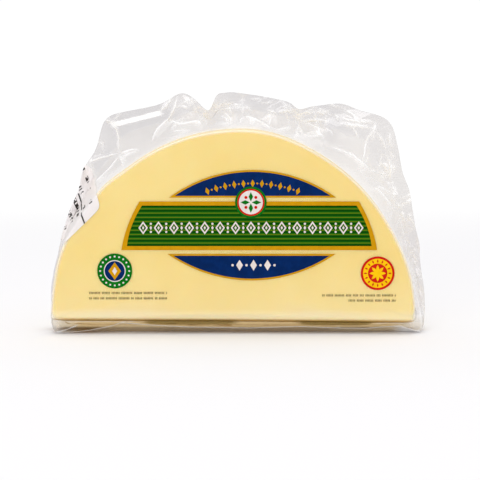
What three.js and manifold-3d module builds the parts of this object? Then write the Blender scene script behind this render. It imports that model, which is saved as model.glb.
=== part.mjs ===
// A half-moon slab of provolone, vacuum-sealed in a clear bag and standing on its cut edge.
// Millimetres, +Z up, printed face towards -Y. The origin is the middle of the base.
//
// The bag is drawn tight over both flat faces of the slab. Beyond the slab's edge its two films
// slope together like a tent and meet in a thin, crumpled border that stands up behind the rim.
// Below the cut the surplus film is folded under into a flat pad, and that is what it stands on.
import * as THREE from 'three';
import { mergeVertices } from 'three/addons/utils/BufferGeometryUtils.js';
import Module from 'manifold-3d';

// ---- Driving dimensions ----

// The slab: rather less than half of an oval wheel
const WHEEL = { halfWidth: 81.4, halfHeight: 91.5, x: -2.3, z: -1 };
// Swellings of the rind: degrees round the slab, height, half width in degrees
const SWELLS = [
  { at: 177, height: 2.4, spread: 14 },
  { at: 152, height: 1.4, spread: 8 },
  { at: 75, height: 0.9, spread: 18 },
  { at: 18, height: 1, spread: 28 },
  { at: -6, height: 1.2, spread: 12 },
];
const SLAB_THICKNESS = 26;
const CUT_Z = 5.7; // front edge of the cut face above the table
const EDGE_ROUND = { rind: 1.2, cut: 4 }; // rounds of the slab's edges under the film
const EDGE_TURN = [0.1, 0.42]; // sines below level between which the one becomes the other
const SLAB_CORNERS = 40; // higher is a tighter corner between rind and cut
const PAD_ENDS = 24; // the same for the bag, where its border turns into the pad

// The bag
const FILM = 0.25;
const FACE_Y = SLAB_THICKNESS / 2 + FILM; // half depth of the pack over its flat faces
const BORDER = { right: 6.5, top: 15.5, left: 2.9 }; // border beyond the slab, at 0, 90 and 180 degrees
const BORDER_Y = 6; // the border stands behind the middle of the slab
const BORDER_THICKNESS = 0.8;
const TENT_SHARE = 0.55; // share of the border's width that is still sloping film
const FOOT = { drawnIn: 1.8, turn: [0.15, 0.42] }; // border lost below these sines of the angle
// Ears and dents of the border's edge: degrees round the slab, height, half width in degrees
const EARS = [
  { at: 136.6, height: 11.9, spread: 17.6 },
  { at: 142.7, height: -5.1, spread: 7.3 },
  { at: 102.1, height: 8.1, spread: 9.2 },
  { at: 100, height: -12.3, spread: 5.5 },
  { at: 65.7, height: -2.5, spread: 2.9 },
  { at: 54.2, height: 4.3, spread: 5.4 },
  { at: 41.9, height: 9.4, spread: 9.7 },
  { at: 35.2, height: 9.2, spread: 26.8 },
  { at: 200, height: -1.2, spread: 5 },
  { at: 177, height: -0.9, spread: 12 },
  { at: 155, height: -2.4, spread: 6.5 },
  { at: 132, height: 1.2, spread: 4 },
  { at: 72, height: -1, spread: 10 },
  { at: 48, height: -0.9, spread: 12 },
  { at: 40, height: 1, spread: 5 },
  { at: 31, height: 0.8, spread: 4 },
  { at: 20, height: 1, spread: 4.5 },
  { at: 3, height: 0.9, spread: 3.5 },
  { at: -6, height: -0.7, spread: 8 },
];
// Sharp folds that run out across the border: number round the slab, height, lean, start
const FOLDS = [
  { count: 13, height: 1.5, lean: 0.55, phase: 0.1 },
  { count: 23, height: 0.9, lean: -0.8, phase: 0.35 },
  { count: 37, height: 0.5, lean: 1.3, phase: 0.7 },
];
const FOLDED_WIDTH = 12; // a border this wide carries the folds at full height

// The folded pad under the cut. Its film hangs a little behind the face before it tucks under.
const PAD = { frontY: -9, backY: 9.5, hang: 2, backShare: 0.72, sink: 0.5 };
const PAD_TURN = [10, 24]; // degrees below level where the border turns into the pad

// Mesh density
const COLUMNS = 150;
const ROWS = { edge: 4, frontTent: 6, border: 3, backTent: 3 };

// Printing on the front film, laid on as thin plates
const INK = 0.15;
const INK_SEGMENTS = 22; // of each curved stretch of an outline
const BAND = {
  x: 5, bottomZ: 37.6, topZ: 59.2, bottomHalf: 56.7, topHalf: 48.6, bulge: 1.2, edge: 1.8,
};
const UPPER_LENS = { x: 6.5, chordZ: 60.9, halfWidth: 37, rise: 12.2, edge: 0.8 };
const LOWER_LENS = { x: 6, chordZ: 35.9, halfWidth: 37.3, rise: -11.8, edge: 0.8 };
const SEALS = {
  seal_middle: { x: 5.7, z: 58.8, radius: 7, layer: 1, color: 0xd9dfd0 },
  seal_left: { x: -54.7, z: 28.3, radius: 7.8, layer: 0, color: 0x1d7a3a },
  seal_right: { x: 62, z: 27.3, radius: 7.5, layer: 0, color: 0xd8331f },
};

// The price sticker, wrapped round the left side of the border
const STICKER = {
  gap: 0.05,
  thickness: 0.3,
  front: { x: -60.5, z: 56.6, along: 45, across: 32, upLean: 20, sideLean: 44 },
  back: { x: -60.5, z: 48, along: 45, across: 45, upLean: 20, sideLean: 8 },
  cornerRadius: 2.2,
  cornerSegments: 6,
};

// ---- The outline, as distances from a pole inside the slab ----

const POLE = { x: WHEEL.x, z: 34 }; // every part of the outline is in sight from here
const degrees = (angle) => THREE.MathUtils.radToDeg(angle);
const mix = THREE.MathUtils.lerp;
const softMin = (a, b, sharpness) => (a ** -sharpness + b ** -sharpness) ** (-1 / sharpness);
const belowLevel = (angle, [start, end]) => THREE.MathUtils.smoothstep(-Math.sin(angle), start, end);
const bells = (angle, list) => list.reduce(
  (sum, { at, height, spread }) => sum + height * Math.exp(-(((degrees(angle) - at) / spread) ** 2)), 0,
);

// From the pole to the rind of the wheel.
function rindDistance(angle) {
  const [c, s] = [Math.cos(angle), Math.sin(angle)];
  const lift = POLE.z - WHEEL.z;
  const a = (c / WHEEL.halfWidth) ** 2 + (s / WHEEL.halfHeight) ** 2;
  const b = (2 * lift * s) / WHEEL.halfHeight ** 2;
  const d = (lift / WHEEL.halfHeight) ** 2 - 1;
  return (-b + Math.sqrt(b * b - 4 * a * d)) / (2 * a) + bells(angle, SWELLS);
}

// From the pole down to a level line. Directions that don't point down never meet it.
function levelDistance(angle, z) {
  return Math.sin(angle) < 0 ? (POLE.z - z) / -Math.sin(angle) : Infinity;
}

const slabDistance = (angle) => softMin(rindDistance(angle), levelDistance(angle, CUT_Z), SLAB_CORNERS);

function borderWidth(angle) {
  const side = Math.cos(angle) > 0 ? BORDER.right : BORDER.left;
  const width = mix(side, BORDER.top, Math.max(Math.sin(angle), 0)) + bells(angle, EARS);
  return width - FOOT.drawnIn * belowLevel(angle, FOOT.turn);
}

// The rim's line runs a little under the table, and bagPoint lifts it to a truly flat base.
function rimDistance(angle) {
  return softMin(rindDistance(angle) + borderWidth(angle), levelDistance(angle, -PAD.sink), PAD_ENDS);
}

// How far this direction belongs to the pad: 0 for the border, 1 under the cut.
const padSines = PAD_TURN.map((corner) => Math.sin(THREE.MathUtils.degToRad(corner)));
const padShare = (angle) => belowLevel(angle, padSines);

// The round of the slab's edge: small along the rind, larger under the cut.
const edgeRound = (angle) => mix(EDGE_ROUND.rind, EDGE_ROUND.cut, belowLevel(angle, EDGE_TURN));

// Angles from -90 to 270 degrees, whose points on the slab's outline are equally far apart.
function columnAngles(count) {
  const steps = 30 * count;
  const angleAt = (i) => -Math.PI / 2 + (2 * Math.PI * i) / steps;
  const pointAt = (i) => new THREE.Vector2(Math.cos(angleAt(i)), Math.sin(angleAt(i)))
    .multiplyScalar(slabDistance(angleAt(i)));
  const reach = [0];
  for (let i = 1; i <= steps; i++) reach.push(reach[i - 1] + pointAt(i).distanceTo(pointAt(i - 1)));
  const angles = [];
  for (let k = 0, i = 0; k < count; k++) {
    const wanted = (reach[steps] * k) / count;
    while (reach[i + 1] < wanted) i++;
    angles.push(angleAt(i + (wanted - reach[i]) / (reach[i + 1] - reach[i])));
  }
  return angles;
}

// ---- The bag ----

// A fold is a triangle wave: flat facets between sharp ridges.
const triangleWave = (t) => 4 * Math.abs(t - Math.floor(t) - 0.5) - 1;

function foldHeight(turn, across) {
  return FOLDS.reduce(
    (sum, f) => sum + f.height * triangleWave(f.count * turn + f.lean * across + f.phase), 0,
  );
}

// The section through the bag from the front face, out to the rim and in to the back face. Each
// station has its side, its turn over the slab's edge, its share of the border's width, and its
// place in the pad: share of the drop and y, or no y where it stays on the edge.
function sectionStations() {
  const stations = [];
  const addEdge = (side, i, padOut) => {
    stations.push({ side, turn: i / (ROWS.edge - 1), share: 0, padOut });
  };
  const add = (side, share, padOut, padY) => stations.push({ side, turn: 1, share, padOut, padY });
  for (let i = 0; i < ROWS.edge; i++) addEdge(-1, i, 0);
  for (let i = 1; i <= ROWS.frontTent; i++) {
    const t = i / ROWS.frontTent;
    const underhang = Math.sin((Math.PI / 2) * t); // the pad's film drops, then tucks under
    add(-1, TENT_SHARE * t, underhang, mix(PAD.hang - FACE_Y, PAD.frontY, t ** 2));
  }
  const padSteps = 2 * ROWS.border + 1;
  const padY = (i) => mix(PAD.frontY, PAD.backY, i / padSteps);
  for (let i = 1; i <= ROWS.border; i++) add(-1, mix(TENT_SHARE, 1, i / ROWS.border), 1, padY(i));
  for (let i = ROWS.border; i >= 0; i--) {
    add(1, mix(TENT_SHARE, 1, i / ROWS.border), 1, padY(padSteps - i));
  }
  for (let i = ROWS.backTent - 1; i >= 1; i--) {
    const t = i / ROWS.backTent;
    add(1, TENT_SHARE * t, mix(PAD.backShare, 1, t), mix(FACE_Y - PAD.hang, PAD.backY, t));
  }
  for (let i = ROWS.edge - 1; i >= 0; i--) addEdge(1, i, PAD.backShare);
  return stations;
}

// One point of the bag, pushed outwards from its station by the folds.
function bagPoint(angle, turnRound, { side, turn, share, padOut, padY }) {
  const pad = padShare(angle);
  const slab = slabDistance(angle);
  const width = rimDistance(angle) - slab;
  const round = edgeRound(angle);
  const quarter = (Math.PI / 2) * turn;
  const distance = slab + mix(share, padOut, pad) * width - round * (1 - Math.sin(quarter));
  const foot = side * (FACE_Y - round * (1 - Math.cos(quarter)));
  const border = side < 0 ? BORDER_Y : BORDER_Y + BORDER_THICKNESS;
  const upright = mix(foot, border, Math.min(share / TENT_SHARE, 1));
  const folded = Math.min(width / FOLDED_WIDTH, 1) * (1 - pad);
  const rise = THREE.MathUtils.smoothstep(share, 0, TENT_SHARE);
  return [
    POLE.x + distance * Math.cos(angle),
    mix(upright, padY ?? upright, pad) + folded * rise * foldHeight(turnRound, share),
    Math.max(POLE.z + distance * Math.sin(angle), 0),
  ];
}

// Rings of points join into a closed skin, with a fan over the flat face at each end.
function bagGeometry() {
  const stations = sectionStations();
  const angles = columnAngles(COLUMNS);
  const positions = stations.flatMap((station) =>
    angles.flatMap((angle, k) => bagPoint(angle, k / COLUMNS, station)));
  positions.push(POLE.x, -FACE_Y, POLE.z, POLE.x, FACE_Y, POLE.z);
  const frontPole = stations.length * COLUMNS;
  const last = (stations.length - 1) * COLUMNS;
  const triangles = [];
  for (let k = 0; k < COLUMNS; k++) {
    const next = (k + 1) % COLUMNS;
    triangles.push(frontPole, k, next, frontPole + 1, last + next, last + k);
    for (let row = 0; row < last; row += COLUMNS) {
      const [a, b, c, d] = [row + k, row + next, row + COLUMNS + next, row + COLUMNS + k];
      // alternate diagonals, so that the folds lean neither way
      if ((k + row / COLUMNS) % 2) triangles.push(a, d, b, b, d, c);
      else triangles.push(a, d, c, a, c, b);
    }
  }
  const geometry = new THREE.BufferGeometry();
  geometry.setAttribute('position', new THREE.Float32BufferAttribute(positions, 3));
  geometry.setIndex(triangles);
  return geometry;
}

// ---- The sticker ----

// A skin at a small height over the bag, with the same triangles.
function inflated(geometry, height) {
  const copy = geometry.clone();
  copy.computeVertexNormals();
  const { position, normal } = copy.attributes;
  for (let i = 0; i < position.count; i++) {
    const away = new THREE.Vector3().fromBufferAttribute(normal, i).multiplyScalar(height);
    position.setXYZ(i, position.getX(i) + away.x, position.getY(i) + away.y, position.getZ(i) + away.z);
  }
  return copy;
}

// A rounded block along Y, standing on one corner of the sticker and leaning with it.
function stickerBlock({ x, z, along, across, upLean, sideLean }, fromY, toY) {
  const lean = THREE.MathUtils.degToRad;
  const up = new THREE.Vector2(-Math.sin(lean(upLean)), Math.cos(lean(upLean)));
  const side = new THREE.Vector2(-Math.cos(lean(sideLean)), -Math.sin(lean(sideLean)));
  const corner = new THREE.Vector2(x, z);
  const at = (u, s) => corner.clone().addScaledVector(up, u).addScaledVector(side, s);
  const r = STICKER.cornerRadius;
  const shape = new THREE.Shape();
  shape.moveTo(...at(r, 0));
  shape.lineTo(...at(along, 0));
  shape.lineTo(...at(along, across));
  shape.lineTo(...at(0, across));
  shape.lineTo(...at(0, r));
  shape.quadraticCurveTo(...at(0, 0), ...at(r, 0));
  const options = { depth: toY - fromY, bevelEnabled: false, curveSegments: STICKER.cornerSegments };
  const block = new THREE.ExtrudeGeometry(shape, options);
  return block.rotateX(Math.PI / 2).translate(0, toY, 0);
}

const wasm = await Module();
wasm.setup();
const MERGE_WITHIN = 1e-5;

function toSolid(geometry) {
  const bare = geometry.clone();
  bare.deleteAttribute('normal');
  bare.deleteAttribute('uv');
  const merged = mergeVertices(bare, MERGE_WITHIN);
  return new wasm.Manifold(new wasm.Mesh({
    numProp: 3,
    vertProperties: new Float32Array(merged.attributes.position.array),
    triVerts: new Uint32Array(merged.index.array),
  }));
}

function fromSolid(solid) {
  const { vertProperties, triVerts } = solid.getMesh();
  const geometry = new THREE.BufferGeometry();
  geometry.setAttribute('position', new THREE.BufferAttribute(vertProperties, 3));
  geometry.setIndex(new THREE.BufferAttribute(triVerts, 1));
  return geometry;
}

function stickerGeometry(bag) {
  const skin = toSolid(inflated(bag, STICKER.gap + STICKER.thickness))
    .subtract(toSolid(inflated(bag, STICKER.gap)));
  const middle = BORDER_Y + BORDER_THICKNESS / 2;
  const reach = toSolid(stickerBlock(STICKER.front, -2 * FACE_Y, middle))
    .add(toSolid(stickerBlock(STICKER.back, middle, 2 * FACE_Y)));
  return fromSolid(skin.intersect(reach));
}

// ---- The printing ----

// Upright outlines in X and Z become plates that lie on the front film, one ink layer thick.
function inkPlate(shape, layer = 0) {
  const options = { depth: INK, bevelEnabled: false, curveSegments: INK_SEGMENTS };
  const plate = new THREE.ExtrudeGeometry(shape, options);
  return plate.rotateX(Math.PI / 2).translate(0, -FACE_Y - layer * INK, 0);
}

// A band with level edges and slanting, slightly bowed ends.
function bandShape(inset) {
  const { x, bottomZ, topZ, bottomHalf, topHalf, bulge } = BAND;
  const [low, high] = [bottomZ + inset, topZ - inset];
  const half = (z) => mix(bottomHalf, topHalf, (z - bottomZ) / (topZ - bottomZ)) - inset;
  const middle = (low + high) / 2;
  const shape = new THREE.Shape();
  shape.moveTo(x - half(low), low);
  shape.lineTo(x + half(low), low);
  shape.quadraticCurveTo(x + half(middle) + 2 * bulge, middle, x + half(high), high);
  shape.lineTo(x - half(high), high);
  shape.quadraticCurveTo(x - half(middle) - 2 * bulge, middle, x - half(low), low);
  return shape;
}

// A segment of a circle on a level chord. A negative rise hangs below the chord.
function lensShape({ x, chordZ, halfWidth, rise }, inset) {
  const up = Math.sign(rise);
  const height = Math.abs(rise);
  const radius = (halfWidth ** 2 + height ** 2) / (2 * height);
  const centreZ = chordZ + up * (height - radius);
  const half = Math.asin(Math.min(1, Math.sqrt((radius - inset) ** 2
    - (radius - height + inset) ** 2) / (radius - inset)));
  const middle = up * (Math.PI / 2);
  const shape = new THREE.Shape();
  shape.absarc(x, centreZ, radius - inset, middle - half, middle + half, false);
  shape.closePath();
  return shape;
}

// A coloured field and the gold line round it.
function framedField(outline, edge) {
  const frame = outline(0);
  frame.holes.push(outline(edge));
  return { field: inkPlate(outline(edge)), frame: inkPlate(frame) };
}

function sealGeometry({ x, z, radius, layer }) {
  const disc = new THREE.Shape();
  disc.absarc(x, z, radius, 0, 2 * Math.PI, false);
  return inkPlate(disc, layer);
}

// ---- The pack ----

const FILM_LOOK = { color: 0xf6dd97, roughness: 0.25, metalness: 0 };
const PAPER_LOOK = { color: 0xf0e8e4, roughness: 0.7, metalness: 0 };
const GREEN_LOOK = { color: 0x14500a, roughness: 0.35, metalness: 0 };
const BLUE_LOOK = { color: 0x072863, roughness: 0.35, metalness: 0 };
const GOLD_LOOK = { color: 0xc9960f, roughness: 0.35, metalness: 0 };

const pack = new THREE.Group();

function addPiece(name, geometry, look) {
  const piece = new THREE.Mesh(geometry, new THREE.MeshStandardMaterial(look));
  piece.name = name;
  pack.add(piece);
}

const bag = bagGeometry();
addPiece('bag', bag, FILM_LOOK);
addPiece('price_sticker', stickerGeometry(bag), PAPER_LOOK);

const band = framedField(bandShape, BAND.edge);
addPiece('print_band', band.field, GREEN_LOOK);
addPiece('print_band_edge', band.frame, GOLD_LOOK);
for (const [name, lens] of [['print_upper', UPPER_LENS], ['print_lower', LOWER_LENS]]) {
  const { field, frame } = framedField((inset) => lensShape(lens, inset), lens.edge);
  addPiece(name, field, BLUE_LOOK);
  addPiece(`${name}_edge`, frame, GOLD_LOOK);
}
for (const [name, seal] of Object.entries(SEALS)) {
  addPiece(name, sealGeometry(seal), { color: seal.color, roughness: 0.35, metalness: 0 });
}

export default pack;
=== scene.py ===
"""A half-moon slab of provolone in a clear vacuum bag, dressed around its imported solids."""
import math

import bpy
import numpy as np
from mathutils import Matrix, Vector


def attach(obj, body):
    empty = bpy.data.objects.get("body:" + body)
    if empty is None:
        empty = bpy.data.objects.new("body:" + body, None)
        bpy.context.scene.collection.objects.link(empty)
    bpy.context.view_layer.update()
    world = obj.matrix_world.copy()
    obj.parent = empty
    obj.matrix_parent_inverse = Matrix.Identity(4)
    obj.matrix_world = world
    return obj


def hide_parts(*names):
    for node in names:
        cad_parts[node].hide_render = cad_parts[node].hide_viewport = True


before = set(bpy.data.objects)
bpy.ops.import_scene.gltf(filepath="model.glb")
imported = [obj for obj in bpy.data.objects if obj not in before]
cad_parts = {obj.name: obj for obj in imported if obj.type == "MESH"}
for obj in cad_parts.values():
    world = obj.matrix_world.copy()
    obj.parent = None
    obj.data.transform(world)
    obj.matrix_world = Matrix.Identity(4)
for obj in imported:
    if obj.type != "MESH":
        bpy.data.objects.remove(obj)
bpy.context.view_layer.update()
BODY = "root"

# ---------------------------------------------------------------------------------------------
# The slab. Provolone is a stretched-curd cheese, pressed smooth and cut with a wire, so its faces
# are plain and waxy, its edges go soft in the bag, and light sinks a few millimetres into it.
# The cut face under it isn't square to the front, so its shaded underside shows.

WHEEL_HALF_WIDTH = 81.4  # millimetres, as all lengths here until a mesh is made
WHEEL_HALF_HEIGHT = 91.5
WHEEL_X = -2.3
WHEEL_Z = -1.0
POLE_Z = 34.0  # every part of the outline is in sight from here
SLAB_CORNERS = 55
CUT_FRONT_Z = 5.7
CUT_BACK_Z = 2.0
CUT_RISE = -0.006  # of its level, per millimetre to the right
# Swellings of the rind: degrees round the pole, height, half width in degrees
RIND_SWELLS = ((177, 2.4, 14), (152, 1.4, 8), (75, 0.9, 18), (18, 1.0, 28), (-6, 1.2, 12))
SLAB_HALF = 13.0
EDGE_ABOVE, EDGE_BELOW = 1.2, 4.0  # rounds of its edges along the rind and along the cut
UNDER = (0.1, 0.42)  # sines below level between which the rind's edge goes over into the cut's
RIND_BULGE = 0.5
FLAT_TO = 0.985  # share of the face that stays dead flat
FILM = 0.25  # room that the bag's film takes, slack air included


def soft_min(a, b, sharpness):
    """The smaller of a and b with its corner rounded: the p-norm of their inverses, inverted."""
    return (a ** -sharpness + b ** -sharpness) ** (-1 / sharpness)


def bell(x, middle, half_width):
    """One in the middle, falling off as e to minus the square of the distance over half_width."""
    return np.exp(-((x - middle) / half_width) ** 2)


def rind_distance(angle):
    """From the pole to the oval rind: the positive root of the ellipse's quadratic on that ray,
    plus a bell for each swelling."""
    cosine, sine = np.cos(angle), np.sin(angle)
    lift = POLE_Z - WHEEL_Z
    a = (cosine / WHEEL_HALF_WIDTH) ** 2 + (sine / WHEEL_HALF_HEIGHT) ** 2
    b = 2 * lift * sine / WHEEL_HALF_HEIGHT ** 2
    c = (lift / WHEEL_HALF_HEIGHT) ** 2 - 1
    distance = (-b + np.sqrt(b * b - 4 * a * c)) / (2 * a)
    for at, height, spread in RIND_SWELLS:
        distance = distance + height * bell(np.degrees(angle), at, spread)
    return distance


def around_pole(angle, distance):
    """x and z of points at those angles and distances from the pole."""
    return WHEEL_X + distance * np.cos(angle), POLE_Z + distance * np.sin(angle)


def level_distance(angle, z, rise=0.0):
    """From the pole down to a plane at the level z that rises to the right, and endless for rays
    that don't meet it."""
    down = rise * np.cos(angle) - np.sin(angle)
    return np.where(down > 0, (POLE_Z - z - rise * WHEEL_X) / np.maximum(down, 1e-9), 1e9)


def slab_distance(angle, z=CUT_FRONT_Z):
    """From the pole to the slab's outline: the rind or the cut, whichever comes first."""
    return soft_min(rind_distance(angle), level_distance(angle, z, CUT_RISE), SLAB_CORNERS)


def smooth(x, low, high):
    """Zero below low, one above high, and a smooth cubic between."""
    t = np.clip((x - low) / (high - low), 0, 1)
    return t * t * (3 - 2 * t)


def spread_columns(count, share_below=1.0):
    """Angles from -90 to 270 degrees at equal steps of arc length along the slab's outline, only
    share_below as dense under the cut, with the turn (share of the arc length) of each."""
    fine = np.linspace(-np.pi / 2, 1.5 * np.pi, 8001)
    reach = slab_distance(fine)
    steps = np.hypot(np.diff(reach * np.cos(fine)), np.diff(reach * np.sin(fine)))
    length = np.concatenate([[0], np.cumsum(steps)])
    density = np.where(np.sin(fine[1:]) < -UNDER[1], share_below, 1)
    dense = np.concatenate([[0], np.cumsum(steps * density)])
    angle = np.interp(np.arange(count) / count * dense[-1], dense, fine)
    return angle, np.interp(angle, fine, length) / length[-1], length[-1]


def make_piece(name, vertices, faces):
    """An object at the origin from vertices in millimetres and lists of faces."""
    mesh = bpy.data.meshes.new(name)
    mesh.from_pydata((np.asarray(vertices) / 1000).tolist(), [], faces)
    mesh.shade_smooth()
    piece = bpy.data.objects.new(name, mesh)
    bpy.context.scene.collection.objects.link(piece)
    return piece


def round_skin(name, points, poles):
    """A grid of points, rows by columns that close round, joined by quads into one smooth skin,
    with a fan to a pole at each end."""
    rows, columns = points.shape[:2]
    index = np.arange(rows * columns).reshape(rows, columns)
    near, far = index[:-1], index[1:]
    quads = np.stack([near, far, np.roll(far, -1, 1), np.roll(near, -1, 1)], -1).reshape(-1, 4)
    first, last = index[0], index[-1]
    front, back = np.full(columns, index.size), np.full(columns, index.size + 1)
    fans = np.concatenate([np.stack([front, first, np.roll(first, -1)], -1),
                           np.stack([back, np.roll(last, -1), last], -1)])
    vertices = np.concatenate([points.reshape(-1, 3), poles])
    return make_piece(name, vertices, quads.tolist() + fans.tolist())


def rind_bulge(angle, y):
    """How far the rind swells between the faces: a parabola across, fading out under the cut."""
    above = np.clip(np.sin(angle) + 0.4, 0, 1)
    return RIND_BULGE * above * np.clip(1 - (y / SLAB_HALF) ** 2, 0, 1)


def edge_round(angle):
    """The round of the slab's edges: small along the rind, larger under the cut."""
    return EDGE_ABOVE + (EDGE_BELOW - EDGE_ABOVE) * smooth(-np.sin(angle), *UNDER)


def slab_points(angle, face_rows=8, edge_rows=8, side_rows=24):
    """Rings from the middle of the front face, over a quarter-round edge, across the bulging rind
    and back to the middle of the back face. The cut's level falls evenly from front to back."""
    turn = np.linspace(0, np.pi / 2, edge_rows)
    inner = np.append(np.linspace(0, 1, face_rows)[1:-1], FLAT_TO)
    reach = np.concatenate([inner, np.ones(edge_rows)])[:, None]
    inset = np.concatenate([np.ones(face_rows - 1), 1 - np.sin(turn)])[:, None] * edge_round(angle)
    depth = np.concatenate([np.zeros(face_rows - 1), 1 - np.cos(turn)])[:, None] * edge_round(angle)
    side = np.linspace(-1, 1, side_rows + 2)[1:-1, None] * (SLAB_HALF - edge_round(angle))
    reach = np.concatenate([reach, np.ones((side_rows, 1)), reach[::-1]])
    inset = np.concatenate([inset, 0 * side, inset[::-1]])
    y = np.concatenate([depth - SLAB_HALF, side, SLAB_HALF - depth[::-1]])
    cut = CUT_FRONT_Z + (CUT_BACK_Z - CUT_FRONT_Z) * (y + SLAB_HALF) / (2 * SLAB_HALF)
    distance = reach * (slab_distance(angle, cut) - FILM - inset)
    x, z = around_pole(angle, distance + np.where(reach == 1, rind_bulge(angle, y), 0))
    return np.stack([x, y, z], -1)


def hex_colour(text, alpha=1):
    """An sRGB hex colour as linear red, green and blue, and alpha."""
    parts = [int(text[i:i + 2], 16) / 255 for i in (0, 2, 4)]
    return [p / 12.92 if p <= 0.04045 else ((p + 0.055) / 1.055) ** 2.4 for p in parts] + [alpha]


def add_node(tree, kind, links=None, values=None, stops=(), **settings):
    """A shader node of that kind, with the links into its sockets (a node stands for its first
    output), its sockets' values, its ramp's stops and its other settings."""
    node = tree.nodes.new("ShaderNode" + kind)
    for name, value in settings.items():
        setattr(node, name, value)
    for socket, value in (values or {}).items():
        node.inputs[socket].default_value = value
    for socket, source in (links or {}).items():
        tree.links.new(getattr(source, "outputs", [source])[0], node.inputs[socket])
    if stops:
        elements = node.color_ramp.elements  # a new ramp has two
        elements[0].position, elements[1].position = stops[0][0], stops[-1][0]
        for position, _ in stops[1:-1]:
            elements.new(position)
        for element, (_, colour) in zip(elements, stops):
            element.color = colour
    return node


def new_material(name):
    """A material and its empty node tree."""
    material = bpy.data.materials.new(name)
    material.use_nodes = True
    material.node_tree.nodes.clear()
    return material, material.node_tree


def pressed_curd():
    """Pale yellow pasta filata: waxy, slightly translucent, with faint clouding 25 mm across and
    the fine grain that a wire leaves. Towards the cut it is painted paler: a painted highlight along
    its soft lower edge, fading as painted fill light up the lower face. Under it is deep ochre, the
    painted shade of its underside."""
    material, tree = new_material("pressed_curd_cheese")
    place = add_node(tree, "TexCoord").outputs["Object"]
    clouds = add_node(tree, "TexNoise", {"Vector": place}, {"Scale": 40, "Detail": 4, "Roughness": 0.55})
    tint = add_node(tree, "ValToRGB", {"Fac": clouds},
                    stops=((0.3, hex_colour("F7DA82")), (0.7, hex_colour("FBE192"))))
    fall = (CUT_FRONT_Z - CUT_BACK_Z) / (2 * SLAB_HALF)
    cut_z = CUT_FRONT_Z - fall * SLAB_HALF
    level = add_node(tree, "VectorMath", {0: place}, {1: (-CUT_RISE, fall, 1)}, operation="DOT_PRODUCT")
    over_cut = add_node(tree, "MapRange", {"Value": level.outputs["Value"]},
                        {"From Min": (cut_z - 2) / 1000, "From Max": (cut_z + 30) / 1000})
    # the ochre end is painted shade on the underside and the foot of the lower edge; the cream is a
    # painted highlight along the lower edge, fading as painted fill light 30 mm up the face
    ochre, cream = "C08E2C", "FFF3D2"
    edge = add_node(tree, "ValToRGB", {"Fac": over_cut}, stops=[
        (position, hex_colour(colour, share)) for position, colour, share in (
            (0, ochre, 0.8), (0.08, ochre, 0.8), (0.112, cream, 0.5), (0.16, cream, 0.48),
            (0.24, cream, 0.17), (1, cream, 0))])
    colour = add_node(tree, "Mix", {0: edge.outputs["Alpha"], 6: tint, 7: edge}, data_type="RGBA")
    grain = add_node(tree, "TexNoise", {"Vector": place}, {"Scale": 900, "Detail": 2})
    bump = add_node(tree, "Bump", {"Height": grain}, {"Strength": 0.15, "Distance": 0.0002})
    shader = add_node(tree, "BsdfPrincipled", {"Base Color": colour.outputs[2], "Normal": bump},
                      {"Roughness": 0.42, "IOR": 1.45, "Subsurface Weight": 0.3,
                       "Subsurface Radius": (1.0, 0.6, 0.25), "Subsurface Scale": 0.003})
    add_node(tree, "OutputMaterial", {"Surface": shader})
    return material


slab_angle, _, _ = spread_columns(360)
slab = round_skin("cheese_slab", slab_points(slab_angle),
                  [[WHEEL_X, -SLAB_HALF, POLE_Z], [WHEEL_X, SLAB_HALF, POLE_Z]])
slab.data.materials.append(pressed_curd())
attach(slab, BODY)
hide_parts("bag")

# ---------------------------------------------------------------------------------------------
# The bag. A clear laminate of polyamide and polyethylene, 0.1 mm a side, shrunk tight over the two
# faces. Off the slab's edge the films slope together and meet in a crumpled, sealed border, and
# under the cut the surplus is folded away into a flat pad.

FACE_Y = SLAB_HALF + FILM
BORDER_RIGHT, BORDER_TOP, BORDER_LEFT = 6.5, 15.5, 2.9
BORDER_Y = 6.0
BORDER_THICKNESS = 0.4
FOOT_DRAWN_IN = 1.8
TENT_SHARE = 0.55  # share of the border's width where the two films are still apart
SEAL_FADE = 0.12  # of that width, either side of where the seal begins
RIM_FROM = 0.98  # share of the sealed part where the cut rim begins
PAD_FRONT_Y, PAD_BACK_Y, PAD_BACK_SHARE, PAD_SINK = -9.0, 9.5, 0.72, 0.5
PAD_CRUMPLE = 0.5  # of the free border's
PAD_LEAVES_FACE = 2.0  # where its folds start, in from the two faces
PAD_FOLDS_MEET = 0.48  # share of its depth where the front fold meets the back one
PAD_ENDS = 24
PAD_TURN = (10, 24)  # degrees below level where the border turns into the pad
# Ears and dents of the border's edge: degrees round the slab, height, half width in degrees
EARS = ((136.6, 11.9, 17.6), (142.7, -5.1, 7.3), (102.1, 8.1, 9.2), (100, -12.3, 5.5),
        (65.7, -2.5, 2.9), (54.2, 4.3, 5.4), (41.9, 9.4, 9.7), (35.2, 9.2, 26.8),
        (200.0, -1.2, 5.0), (177.0, -0.9, 12.0), (155.0, -2.4, 6.5), (132.0, 1.2, 4.0),
        (99.7, -1.3, 2.2), (95.8, 2.0, 2.2), (40.0, 1.0, 5.0), (31.0, 0.8, 4.0), (20.0, 1.0, 4.5),
        (3.0, 0.9, 3.5), (72.0, -1.0, 10.0), (48.0, -0.9, 12.0), (-6.0, -0.7, 8.0))
# Sharp folds out across the border: number round the slab, height, lean, start
FOLDS = ((13, 1.5, 0.55, 0.1), (23, 0.9, -0.8, 0.35), (37, 0.5, 1.3, 0.7))
FOLDED_WIDTH = 12.0
# Facets of crumpled film: size, height
FACETS = ((13.0, 0.9), (6.5, 0.55), (3.2, 0.1))
BUSIEST = 1.8  # a place with this much fine crumpling keeps every short crease
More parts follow.
